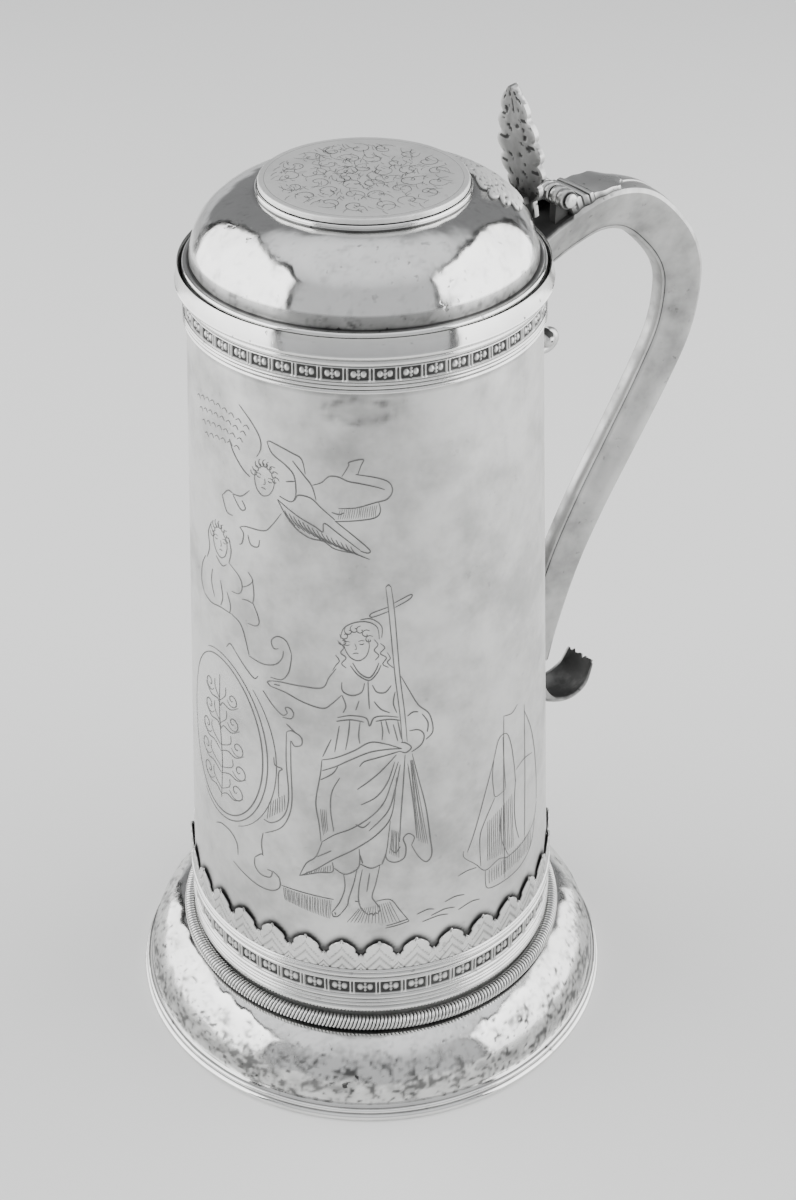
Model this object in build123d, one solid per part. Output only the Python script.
from build123d import *
import math
import os

# Silver lidded tankard on a spreading foot: a tapered drum, a scroll handle on +X,
# and a domed lid on a five-part hinge whose pin lies along Y. Millimetres, +Z up,
# origin at the centre of the plane that the foot's rim rests on.

# ---- driving dimensions -------------------------------------------------------------

# drum
mouth_height = 226.9
drum_bottom_radius = 52.4
drum_top_radius = 43.8
drum_lower_edge = 20.0
drum_wall = 1.3
base_plate_height = 27.0
base_plate_thickness = 1.5

# foot
foot_radius = 70.0
foot_shoulder_height = 20.8
foot_wall = 1.3
rim_wire_width = 2.4
rim_wire_height = 4.4
rim_step_height = 1.2
rim_bead_seat = 0.6
ribbed_wire_gap = 0.4
ribbed_wire_section = 4.2

# rings round the drum's foot, from the ribbed wire upwards
collar_bottom = 25.9
collar_height = 6.9
lower_band_height = 5.4
lower_reed_height = 4.4
leaf_height = 10.0
leaf_count = 32
leaf_notch_depth = 3.4
ring_proud = 1.1
band_proud = 0.7
leaf_proud = 0.6

# rings round the mouth, from the lip downwards
lip_reed_height = 1.9
mouth_band_height = 3.8
mouth_reed_height = 3.1

# lid
lid_gap = 0.3
flange_overhang = 1.7
flange_height = 6.3
flange_step = 3.9
flange_ridge_height = 1.2
flange_groove_height = 4.4
flange_groove_depth = 2.2
lid_wall = 1.2
dome_rise = 16.5
dome_crown_radius = 24.0
bezel_clearance = 1.2
bezel_depth = 4.0
bezel_wall = 1.0
bezel_lead = 1.0
disc_radius = 25.4
disc_thickness = 1.5
disc_edge = 0.4
disc_collar_width = 3.2
disc_collar_height = 1.3
disc_collar_step = 0.6
lid_leaf_thickness = 0.8
lid_leaf_reach = 20.0
lid_leaf_half_width = 19.0
lid_leaf_lobe = 3.6

# hinge
hinge_offset = 12.1
hinge_rise = 1.1
pin_radius = 1.3
pin_clearance = 0.05
knuckle_wall = 1.35
knuckle_side_gap = 0.3
centre_knuckle_length = 5.6
outer_knuckle_length = 5.4
knuckle_foot_depth = 12.0
knuckle_foot_width = 1.8
pin_head_radius = 1.9
pin_head_height = 1.1
hinge_arm_width = 4.4
hinge_arm_thickness = 2.2

# thumbpiece
thumb_height = 36.0
thumb_half_width = 9.0
thumb_thickness = 2.6
thumb_lean = 11.0
thumb_foot_half_width = 3.4
thumb_set_back = 2.0
thumb_foot_drop = 4.6
thumb_lobe_radius = 2.2

# handle
handle_reach = 63.4
handle_foot_height = 86.0
handle_thickness = 13.6
handle_end_thickness = 10.2
handle_back_half_width = 7.4
handle_back_end_half_width = 5.0
handle_front_half_width = 2.2
handle_edge = 1.8
handle_wall = 1.3
strap_thickness = 1.2
solder_gap = 0.06
saddle_thickness = 1.0
saddle_height = 22.0
saddle_half_width = 9.0
lower_saddle_height = 16.0
lower_saddle_half_width = 6.0

# leaf on the handle's back
back_leaf_thickness = 2.4
back_leaf_length = 22.0
back_leaf_tail = 18.0
back_leaf_tail_half_width = 2.8
back_leaf_half_width = 6.9
back_leaf_lobe = 2.3

# curl under the handle's root, and the scoop at its foot
curl_drop = 16.5
curl_reach = 14.0
curl_wire_radius = 1.5
curl_ball_radius = 2.8
scoop_reach = 24.2
scoop_drop = 21.5
scoop_lip_rise = 13.0
scoop_half_width = 7.6
scoop_wall = 1.4

# ---- sizes that follow from them -----------------------------------------------------

knuckle_radius = pin_radius + pin_clearance + knuckle_wall
flange_bottom = mouth_height + lid_gap
flange_top = flange_bottom + flange_height
flange_radius = drum_top_radius + ring_proud + flange_overhang
dome_radius = flange_radius - flange_step
dome_top = flange_top + dome_rise
bezel_radius = drum_top_radius - drum_wall - bezel_clearance
hinge_x = flange_radius + hinge_offset
hinge_z = flange_top + hinge_rise
lower_band_bottom = collar_bottom + collar_height
lower_reed_bottom = lower_band_bottom + lower_band_height
leaf_bottom = lower_reed_bottom + lower_reed_height
drum_straight_top = leaf_bottom
taper = (drum_bottom_radius - drum_top_radius) / (mouth_height - drum_straight_top)
lip_reed_bottom = mouth_height - lip_reed_height
mouth_band_bottom = lip_reed_bottom - mouth_band_height
mouth_reed_bottom = mouth_band_bottom - mouth_reed_height
rim_inner_radius = foot_radius - rim_wire_width
envelope_gap = ring_proud + saddle_thickness


def drum_radius(z):
    """Outer radius of the drum at height z: straight at the foot, tapered above."""
    return drum_bottom_radius - taper * max(0.0, z - drum_straight_top)


# ---- helpers ---------------------------------------------------------------------------

def turned(*edges):
    """A closed outline of edges, drawn as (radius, height), turned round the Z axis."""
    outline = Plane.XZ * make_face(Curve() + list(edges))
    return revolve(outline, Axis.Z)


def ring_on_drum(bottom, top, proud, outline=None):
    """A ring that lies against the drum, with an optional worked outer outline."""
    inner = [(drum_radius(bottom), bottom)]
    if bottom < drum_straight_top < top:
        inner.append((drum_radius(drum_straight_top), drum_straight_top))
    inner.append((drum_radius(top), top))
    outer = outline or [(drum_radius(top) + proud, top), (drum_radius(bottom) + proud, bottom)]
    return turned(Polyline(*inner, *outer, close=True))


def reeded_ring(bottom, top, proud, reeds):
    """A ring whose outer side is a row of half-round reeds."""
    root = proud * 0.45
    pitch = (top - bottom) / reeds
    inner = Polyline((drum_radius(top) + root, top), (drum_radius(top), top),
                     (drum_radius(bottom), bottom), (drum_radius(bottom) + root, bottom))
    arcs = []
    for number in range(reeds):
        low = bottom + number * pitch
        middle = low + pitch / 2
        high = low + pitch
        arcs.append(ThreePointArc((drum_radius(low) + root, low),
                                  (drum_radius(middle) + proud, middle),
                                  (drum_radius(high) + root, high)))
    return turned(inner, *arcs)


def drum_envelope(gap):
    """Everything inside the drum's outer face and the given gap, up to the lip."""
    return turned(Polyline((0, drum_lower_edge), (drum_bottom_radius + gap, drum_lower_edge),
                           (drum_bottom_radius + gap, drum_straight_top),
                           (drum_top_radius + gap, mouth_height), (0, mouth_height), close=True))


def plate_prism(outline, low, high):
    """A plan outline (X, Y) raised from one height to another."""
    face = Plane.XY.offset(low) * make_face(outline)
    return extrude(face, high - low)


def along_y(radius, start, end, x=hinge_x, z=hinge_z):
    """A rod whose axis lies along Y, between two Y values."""
    plane = Plane(origin=(x, start, z), x_dir=(1, 0, 0), z_dir=(0, 1, 0))
    return extrude(plane * Circle(radius), end - start)


# ---- drum and foot ---------------------------------------------------------------------

def make_drum_wall():
    inner_foot = drum_bottom_radius - drum_wall
    return turned(Polyline((drum_bottom_radius, drum_lower_edge), (drum_bottom_radius, drum_straight_top),
                           (drum_top_radius, mouth_height), (drum_top_radius - drum_wall, mouth_height),
                           (inner_foot, drum_straight_top), (inner_foot, drum_lower_edge), close=True))


def make_drum_base():
    radius = drum_bottom_radius - drum_wall
    plate = Cylinder(radius, base_plate_thickness, align=(Align.CENTER, Align.CENTER, Align.MIN))
    return Pos(0, 0, base_plate_height) * plate


def make_foot_dome():
    """The hollow spreading foot: a quarter ellipse over a short upright edge."""
    across = rim_inner_radius - drum_bottom_radius
    rise = foot_shoulder_height - rim_wire_height
    outer = EllipticalCenterArc((drum_bottom_radius, rim_wire_height), across, rise, arc_size=90)
    inner = EllipticalCenterArc((drum_bottom_radius, rim_wire_height), across - foot_wall,
                                rise - foot_wall, arc_size=90)
    edge = Polyline(inner @ 0, (rim_inner_radius - foot_wall, 0), (rim_inner_radius, 0), outer @ 0)
    top = Line(outer @ 1, inner @ 1)
    return turned(outer, inner, edge, top)


def make_foot_rim_wire():
    """The stepped wire round the foot's edge, which the tankard rests on."""
    step_radius = foot_radius - rim_wire_width * 0.35
    return turned(Polyline((rim_inner_radius, 0), (foot_radius, 0), (foot_radius, rim_step_height * 1.4),
                           (step_radius, rim_step_height * 2), (step_radius, rim_step_height * 2.6),
                           (rim_inner_radius + rim_bead_seat, rim_wire_height),
                           (rim_inner_radius, rim_wire_height), close=True))


def make_foot_ribbed_wire():
    section = ribbed_wire_section / 2
    path_radius = drum_bottom_radius + section
    wire = Torus(path_radius, section)
    return Pos(0, 0, foot_shoulder_height + section + ribbed_wire_gap) * wire


def make_leaf_border():
    """A cut strip of leaves: a thin ring whose upper edge is notched between the leaves."""
    top = leaf_bottom + leaf_height
    ring = ring_on_drum(leaf_bottom, top, leaf_proud)
    pitch = 2 * math.pi * drum_radius(top) / leaf_count
    notches = []
    for number in range(leaf_count):
        angle = 360 * (number + 0.5) / leaf_count
        notch = make_face(Polyline((0, top - leaf_notch_depth), (pitch / 2, top + 1), (-pitch / 2, top + 1),
                                   close=True))
        wedge = extrude(Plane.YZ * notch, drum_bottom_radius + ring_proud)
        notches.append(Rot(0, 0, angle) * wedge)
    return ring - notches


# ---- lid ---------------------------------------------------------------------------------

def dome_outline(offset):
    """The dome's line from its edge to its crown, moved out by an offset."""
    across = dome_radius - dome_crown_radius + offset
    return EllipticalCenterArc((dome_crown_radius, flange_top), across, dome_rise + offset, arc_size=90)


def dome_solid(offset):
    arc = dome_outline(offset)
    return turned(arc, Polyline(arc @ 1, (0, dome_top + offset), (0, flange_top), arc @ 0))


def make_lid_dome():
    return dome_solid(0) - dome_solid(-lid_wall)


def make_lid_flange():
    """The moulded rim: a sharp ridge low down, a groove, and a bead against the dome."""
    inner = bezel_radius - bezel_wall
    ridge = flange_bottom + flange_ridge_height
    groove = flange_bottom + flange_groove_height
    neck = flange_radius - flange_groove_depth
    seam = neck - 0.8
    slope = Polyline((inner, flange_top), (inner, flange_bottom), (flange_radius - 0.6, flange_bottom),
                     (flange_radius - 0.2, flange_bottom + 0.5), (flange_radius, ridge))
    cove_middle = (ridge + groove) / 2 + 0.2
    cove = ThreePointArc((flange_radius, ridge), (flange_radius - flange_groove_depth / 2, cove_middle),
                         (neck, groove))
    bead = ThreePointArc((neck, groove), (neck + 0.1, groove + 1.1), (seam, flange_top))
    return turned(slope, cove, bead, Line((seam, flange_top), (inner, flange_top)))


def make_lid_bezel():
    low = flange_bottom - bezel_depth
    inner = bezel_radius - bezel_wall
    return turned(Polyline((inner, low), (bezel_radius - bezel_lead * 0.4, low),
                           (bezel_radius, low + bezel_lead),
                           (bezel_radius, flange_bottom), (inner, flange_bottom), close=True))


def make_disc_collar():
    outer = disc_radius + disc_collar_step
    inner = outer - disc_collar_width
    ring = turned(Polyline((inner, dome_top - dome_rise / 3), (outer, dome_top - dome_rise / 3),
                           (outer, dome_top + disc_collar_height), (inner, dome_top + disc_collar_height),
                           close=True))
    return ring - dome_solid(0)


def make_lid_disc():
    """The engraved plate that caps the lid, held by the collar round its edge."""
    low = dome_top + disc_collar_height
    top = low + disc_thickness
    return turned(Polyline((0, low), (disc_radius, low), (disc_radius, top - disc_edge),
                           (disc_radius - disc_edge, top), (0, top), close=True))


def make_lid_leaf():
    """A scalloped fan of sheet that spreads the hinge's pull over the dome."""
    heel = dome_radius + lid_leaf_thickness
    fan = Pos(dome_radius - lid_leaf_reach / 2, 0) * Rectangle(lid_leaf_reach, lid_leaf_half_width * 1.4)
    lobes = []
    for number in range(5):
        angle = math.radians(90 + 45 * number)
        x = dome_radius - lid_leaf_reach * 0.42 + lid_leaf_reach * 0.42 * math.cos(angle)
        y = (lid_leaf_half_width - lid_leaf_lobe) * math.sin(angle)
        lobes.append(Pos(x, y) * Circle(lid_leaf_lobe * 1.35))
    outline = fan + lobes
    prism = extrude(Plane.XY.offset(flange_top) * outline, dome_rise * 2)
    sheet = (dome_solid(lid_leaf_thickness) - dome_solid(0)) & prism
    collar_room = Pos(0, 0, dome_top) * Cylinder(disc_radius + disc_collar_step + 0.3, dome_rise * 2)
    bead_room = turned(Polyline((0, flange_top - 1), (heel + 1, flange_top - 1), (heel + 1, flange_top + 0.4),
                                (0, flange_top + 0.4), close=True))
    return sheet - collar_room - bead_room


def thumb_plane():
    """The thumbpiece's own plane: X across the tankard, Y up the leaning plate."""
    lean = math.radians(thumb_lean)
    foot = (hinge_x - knuckle_radius - thumb_thickness / 2 - thumb_set_back, 0, hinge_z - thumb_foot_drop)
    return Plane(origin=foot, x_dir=(0, 1, 0), z_dir=(math.cos(lean), 0, math.sin(lean)))


def make_thumbpiece(lid_knuckle):
    """A cast scroll-edged plate: a pointed shield with lobes down each side."""
    shield = make_face(Spline((0, thumb_height), (thumb_half_width * 0.62, thumb_height * 0.78),
                              (thumb_half_width * 0.9, thumb_height * 0.5),
                              (thumb_foot_half_width, thumb_height * 0.12))
                       + Polyline((thumb_foot_half_width, thumb_height * 0.12), (thumb_foot_half_width, 0),
                                  (-thumb_foot_half_width, 0), (-thumb_foot_half_width, thumb_height * 0.12))
                       + Spline((-thumb_foot_half_width, thumb_height * 0.12),
                                (-thumb_half_width * 0.9, thumb_height * 0.5),
                                (-thumb_half_width * 0.62, thumb_height * 0.78), (0, thumb_height)))
    outline = shield
    for side in (-1, 1):
        for across, up in ((0.42, 0.86), (0.72, 0.66), (0.78, 0.45), (0.56, 0.25)):
            lobe = Circle(thumb_lobe_radius)
            outline += Pos(side * across * thumb_half_width, up * thumb_height) * lobe
    plate = extrude(thumb_plane() * outline, thumb_thickness / 2, both=True)
    return largest(plate - lid_knuckle)


def make_lid_knuckle():
    """The middle knuckle and the arm that ties it to the lid through the thumbpiece."""
    half = centre_knuckle_length / 2
    tube = along_y(knuckle_radius, -half, half)
    arm_half = hinge_arm_width / 2
    arm_top = hinge_z + hinge_arm_thickness / 2
    start = dome_radius - 3.0
    arm = plate_prism(Polyline((start, -arm_half), (hinge_x, -arm_half), (hinge_x, arm_half),
                               (start, arm_half), close=True), flange_top + 0.2, arm_top)
    body = (tube + arm) - dome_solid(lid_leaf_thickness) - make_lid_flange()
    return largest(body - along_y(pin_radius + pin_clearance, -half - 1, half + 1))


# ---- handle ------------------------------------------------------------------------------

def handle_point(out, up):
    """A point of the handle's middle line, from shares of its reach and of its height."""
    root_x = drum_top_radius
    top_z = mouth_height - 0.8
    return (root_x + out * handle_reach, handle_foot_height + up * (top_z - handle_foot_height))


def handle_line():
    shares = [(-0.03, 0.893), (0.175, 0.952), (0.36, 0.984), (0.53, 0.997), (0.70, 0.977), (0.86, 0.917),
              (0.965, 0.852), (1.0, 0.785), (0.97, 0.690), (0.86, 0.590), (0.69, 0.465), (0.53, 0.347),
              (0.392, 0.226), (0.288, 0.093), (0.237, 0.0)]
    points = [handle_point(*share) for share in shares]
    return Spline(*points)


def handle_stations(count=18):
    """Planes across the handle with its thickness and width at each."""
    line = handle_line()
    stations = []
    for number in range(count):
        share = number / (count - 1)
        centre = line @ share
        ahead = line % share
        outward = Vector(-ahead.Y, ahead.X)
        thickness = handle_thickness + (handle_end_thickness - handle_thickness) * share ** 1.5
        back = handle_back_half_width + (handle_back_end_half_width - handle_back_half_width) * share
        stations.append((centre, ahead, outward, thickness / 2, back))
    return stations


def station_face(station, corners):
    """A face across the handle from corners given as (across, outward)."""
    centre, ahead, outward, _, _ = station
    plane = Plane(origin=(centre.X, 0, centre.Y), x_dir=(0, 1, 0), z_dir=(ahead.X, 0, ahead.Y))
    sign = 1 if plane.y_dir.X * outward.X + plane.y_dir.Z * outward.Y > 0 else -1
    return plane * make_face(Polyline(*[(x, sign * y) for x, y in corners], close=True))


def half_width_at(station, level):
    """The handle's half-width between its narrow front and its wide back."""
    _, _, _, half, back = station
    share = (level + half) / (2 * half)
    return handle_front_half_width + (back - handle_front_half_width) * share


def make_handle_body():
    """The hollow back of the handle: a channel that the front strap closes."""
    skins = []
    cores = []
    for station in handle_stations():
        half = station[3]
        seat = -half + strap_thickness
        back = half_width_at(station, half)
        shoulder = half_width_at(station, half - handle_edge)
        front = half_width_at(station, seat)
        skins.append(station_face(station, [(-front, seat), (-shoulder, half - handle_edge),
                                            (-back + handle_edge, half), (back - handle_edge, half),
                                            (shoulder, half - handle_edge), (front, seat)]))
        cores.append(station_face(station, [(-front + handle_wall, seat - 0.4),
                                            (-shoulder + handle_wall, half - handle_edge),
                                            (-back + handle_edge + handle_wall, half - handle_wall),
                                            (back - handle_edge - handle_wall, half - handle_wall),
                                            (shoulder - handle_wall, half - handle_edge),
                                            (front - handle_wall, seat - 0.4)]))
    channel = loft(skins) - loft(cores[2:-1])
    return largest(channel - drum_envelope(envelope_gap))


def largest(shape):
    """The largest solid of a shape, without the offcuts inside the drum."""
    return max(shape.solids(), key=lambda solid: solid.volume)


def make_handle_strap():
    strips = []
    for station in handle_stations():
        half = station[3]
        seat = -half + strap_thickness - solder_gap
        front = half_width_at(station, -half)
        inner = half_width_at(station, seat)
        strips.append(station_face(station, [(-front, -half), (-inner, seat), (inner, seat), (front, -half)]))
    return largest(loft(strips) - drum_envelope(envelope_gap))


def back_leaf_sheet(thickness):
    """A strip that follows the handle's back between the hinge and the bend."""
    blocks = []
    for station in handle_stations(30)[4:15]:
        half = station[3]
        width = handle_back_half_width + 1
        blocks.append(station_face(station, [(-width, half - 1.2), (-width, half + thickness),
                                             (width, half + thickness), (width, half - 1.2)]))
    return loft(blocks)


def make_back_leaf(handle_body):
    """The leaf that spreads the hinge over the handle's back, with a scalloped end."""
    start = hinge_x - knuckle_radius
    end = start + back_leaf_length
    middle = start + back_leaf_length * 0.55
    half = back_leaf_half_width
    tail = back_leaf_tail_half_width
    plan = make_face(Polyline((start, -half), (middle, -half), (end - 3, -half * 0.45), (end, 0),
                              (end - 3, half * 0.45), (middle, half), (start, half), close=True))
    for side in (-1, 1):
        plan += Pos(middle, side * (half - back_leaf_lobe)) * Circle(back_leaf_lobe)
        plan += Pos((middle + end) / 2, side * half * 0.55) * Circle(back_leaf_lobe)
    plan += make_face(Polyline((middle, -tail), (end, -tail), (end + back_leaf_tail, -0.4),
                               (end + back_leaf_tail, 0.4), (end, tail), (middle, tail), close=True))
    prism = extrude(Plane.XY.offset(handle_foot_height) * plan, hinge_z - handle_foot_height + 20)
    leaf = largest((back_leaf_sheet(back_leaf_thickness) & prism) - handle_body)
    return largest(leaf - hinge_room())


def hinge_room():
    """The space that the lid's knuckle and arm sweep through as the lid opens."""
    half = centre_knuckle_length / 2 + knuckle_side_gap
    return along_y(knuckle_radius + 0.5, -half, half)


def make_handle_knuckles(handle_body, back_leaf):
    """The two outer knuckles with their feet on the handle's back."""
    start = centre_knuckle_length / 2 + knuckle_side_gap
    knuckles = []
    for side in (-1, 1):
        near = side * start
        far = side * (start + outer_knuckle_length)
        low = min(near, far)
        high = max(near, far)
        tube = along_y(knuckle_radius, low, high)
        outer = side * (handle_back_half_width - handle_edge)
        foot_low = min(near, outer)
        foot_high = max(near, outer)
        toe = hinge_x - knuckle_foot_width
        heel = hinge_x + knuckle_radius
        foot = plate_prism(Polyline((toe, foot_low), (heel, foot_low), (heel, foot_high), (toe, foot_high),
                                    close=True), hinge_z - knuckle_foot_depth, hinge_z)
        knuckle = tube + foot - handle_body - back_leaf
        knuckle = largest(knuckle)
        knuckles.append(knuckle - along_y(pin_radius + pin_clearance, low - 1, high + 1))
    return Compound(knuckles)


def pin_half_length():
    return centre_knuckle_length / 2 + knuckle_side_gap + outer_knuckle_length


def make_hinge_pin():
    return along_y(pin_radius, -pin_half_length(), pin_half_length())


def make_pin_heads():
    """The two riveted ends of the pin."""
    heads = []
    for side in (-1, 1):
        end = (hinge_x, side * pin_half_length(), hinge_z)
        plane = Plane(origin=end, x_dir=(1, 0, 0), z_dir=(0, side, 0))
        button = extrude(plane * Circle(pin_head_radius), pin_head_height)
        outer_edge = button.edges().filter_by(GeomType.CIRCLE).sort_by(Axis.Y)[-1 if side > 0 else 0]
        heads.append(fillet(outer_edge, pin_head_height * 0.6))
    return Compound(heads)


def saddle(low, high, half_width, gap):
    """A plate that lies between the drum and a part of the handle."""
    shell = drum_envelope(gap) - drum_envelope(0)
    reach = drum_bottom_radius * 2
    block = Pos(drum_bottom_radius, 0, (low + high) / 2) * Box(reach, half_width * 2, high - low)
    front = Pos(drum_bottom_radius, 0, 0) * Box(drum_bottom_radius * 2, 500, 1000)
    return shell & block & front


def make_upper_saddle():
    high = mouth_reed_bottom
    return largest(saddle(high - saddle_height, high, saddle_half_width, envelope_gap))


def make_lower_saddle(handle_body, strap, scoop):
    """The block that holds the foot of the handle off the drum."""
    low = handle_foot_height - lower_saddle_height * 0.25
    end = (handle_line() @ 1).X
    block = Pos(end / 2, 0, low + lower_saddle_height / 2) * Box(end, lower_saddle_half_width * 2,
                                                                lower_saddle_height)
    return largest(block - drum_envelope(0) - handle_body - strap - scoop)


def make_root_curl():
    """The tail of the upper join: a wire that curls out and ends in a ball."""
    top = mouth_reed_bottom - saddle_height * 0.6
    wall = drum_radius(top) + envelope_gap
    low = top - curl_drop
    tip = (wall + curl_reach, low + curl_ball_radius)
    path = Plane.XZ * Spline((wall - curl_wire_radius, top), (wall + 2.4, low + curl_drop * 0.35),
                             (wall + curl_reach * 0.55, low + 0.4), tip)
    section = Plane(origin=path @ 0, z_dir=path % 0) * Circle(curl_wire_radius)
    wire = sweep(section, path)
    ball = Pos(tip[0], 0, tip[1] + curl_ball_radius * 0.5) * Sphere(curl_ball_radius)
    return largest((wire + ball) - drum_envelope(envelope_gap))


def make_handle_scoop(handle_body, strap):
    """The foot of the handle: an open scoop that turns outwards and up."""
    start = handle_line() @ 1
    low = start.Y - scoop_drop
    line = Spline((start.X, start.Y), (start.X + 1.6, start.Y - scoop_drop * 0.55),
                  (start.X + scoop_reach * 0.36, low + 3.4), (start.X + scoop_reach * 0.76, low + 5.4),
                  (start.X + scoop_reach, low + scoop_lip_rise))
    sections = []
    for share, half, width_share in ((0, 5.4, 0.53), (0.3, 5.2, 0.66), (0.55, 4.8, 0.89), (0.8, 3.8, 1.0),
                                     (1, 2.2, 0.79)):
        centre = line @ share
        ahead = line % share
        outward = Vector(-ahead.Y, ahead.X)
        side = width_share * scoop_half_width
        haunch = side * 0.8
        belly = side * 0.35
        haunch_level = -half * 0.5
        inner_level = haunch_level + scoop_wall * 0.6
        outer = [(-side, half), (-haunch, haunch_level), (-belly, -half), (belly, -half),
                 (haunch, haunch_level), (side, half)]
        inner = [(side - scoop_wall, half), (haunch - scoop_wall, inner_level), (belly, -half + scoop_wall),
                 (-belly, -half + scoop_wall), (-haunch + scoop_wall, inner_level),
                 (-side + scoop_wall, half)]
        sections.append(station_face((centre, ahead, outward, half, side), outer + inner))
    scoop = loft(sections)
    return largest(scoop - drum_envelope(ring_proud) - handle_body - strap)


# ---- build and write ---------------------------------------------------------------------

def build():
    handle_body = make_handle_body()
    handle_strap = make_handle_strap()
    scoop = make_handle_scoop(handle_body, handle_strap)
    back_leaf = make_back_leaf(handle_body)
    lid_knuckle = make_lid_knuckle()
    thumbpiece = make_thumbpiece(lid_knuckle)
    return {
        "drum_wall": make_drum_wall(),
        "drum_base": make_drum_base(),
        "foot_dome": make_foot_dome(),
        "foot_rim_wire": make_foot_rim_wire(),
        "foot_ribbed_wire": make_foot_ribbed_wire(),
        "foot_collar": reeded_ring(collar_bottom, lower_band_bottom, ring_proud, 3),
        "foot_stamped_band": ring_on_drum(lower_band_bottom, lower_reed_bottom, band_proud),
        "foot_upper_reed": reeded_ring(lower_reed_bottom, leaf_bottom, ring_proud, 2),
        "leaf_border": make_leaf_border(),
        "mouth_lower_reed": reeded_ring(mouth_reed_bottom, mouth_band_bottom, ring_proud, 2),
        "mouth_stamped_band": ring_on_drum(mouth_band_bottom, lip_reed_bottom, band_proud),
        "mouth_lip_wire": reeded_ring(lip_reed_bottom, mouth_height, ring_proud, 1),
        "lid_dome": make_lid_dome(),
        "lid_flange": make_lid_flange(),
        "lid_bezel": make_lid_bezel(),
        "lid_disc_collar": make_disc_collar(),
        "lid_disc": make_lid_disc(),
        "lid_leaf": make_lid_leaf() - lid_knuckle - thumbpiece,
        "lid_knuckle": lid_knuckle,
        "thumbpiece": thumbpiece,
        "handle_body": handle_body,
        "handle_strap": handle_strap,
        "handle_back_leaf": back_leaf,
        "handle_knuckles": make_handle_knuckles(handle_body, back_leaf),
        "hinge_pin": make_hinge_pin(),
        "hinge_pin_heads": make_pin_heads(),
        "handle_root_saddle": make_upper_saddle(),
        "handle_root_curl": make_root_curl(),
        "handle_foot_saddle": make_lower_saddle(handle_body, handle_strap, scoop),
        "handle_scoop": scoop,
    }


os.makedirs("parts", exist_ok=True)
for name, solid in build().items():
    export_step(solid, f"parts/{name}.step")
    print(name, round(solid.volume, 1))
